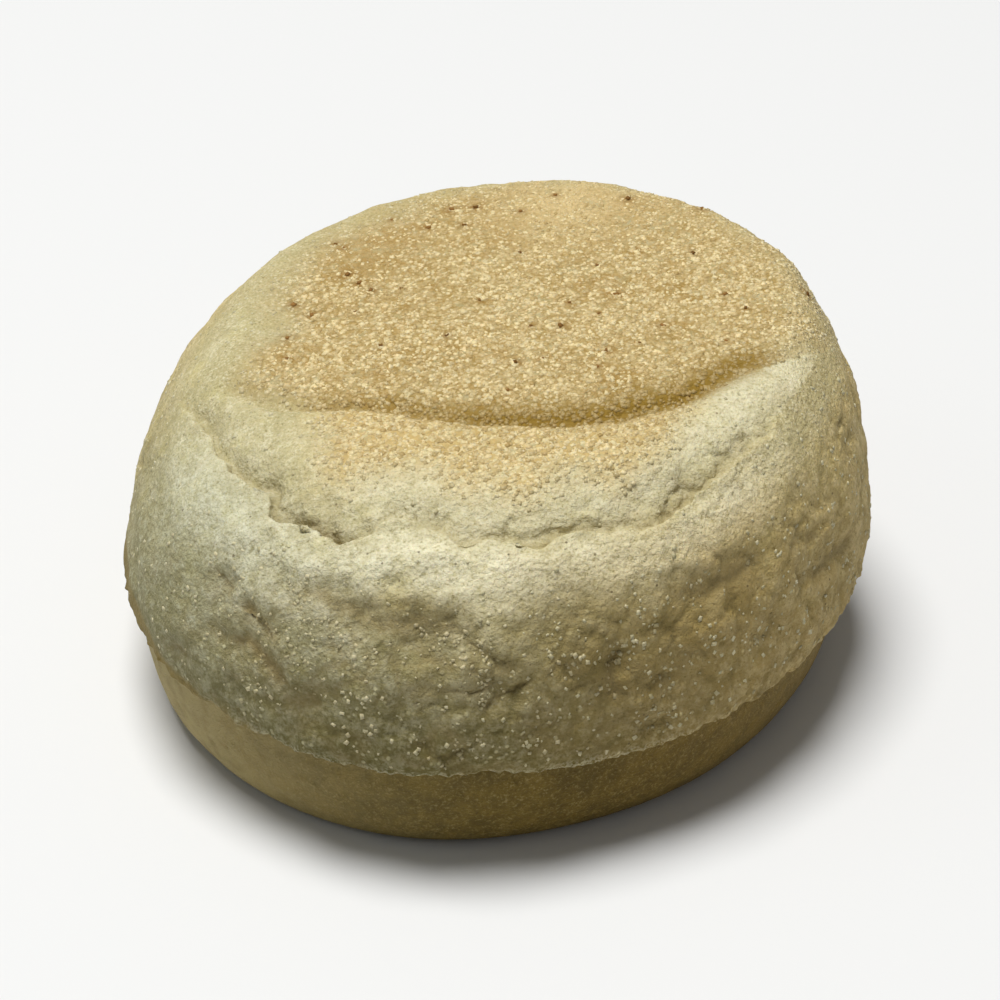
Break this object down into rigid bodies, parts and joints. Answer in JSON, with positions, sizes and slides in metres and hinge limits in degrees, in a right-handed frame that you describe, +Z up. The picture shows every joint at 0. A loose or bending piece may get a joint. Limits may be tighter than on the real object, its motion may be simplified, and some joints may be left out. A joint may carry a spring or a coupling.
{
  "type": "english muffin",
  "caption": "Round, flat-topped English muffin, split across and closed again: a floury domed top half on a shallow smooth-sided bottom half.",
  "frame": {"origin": "middle of the outline seen from above, at the flat base", "axes": "+Z up through the muffin, -Y towards the front, where the top's torn lip is"},
  "size_m": [0.0896, 0.091, 0.0441],
  "materials": {
    "floury_crust": "matte baked crust dusted with flour and semolina, browned on top",
    "tan_side_crust": "matte, smooth, pale tan baked crust"
  },
  "bodies": {
    "root": {"top_half": "floury_crust", "bottom_half": "tan_side_crust"}
  },
  "joints": []
}
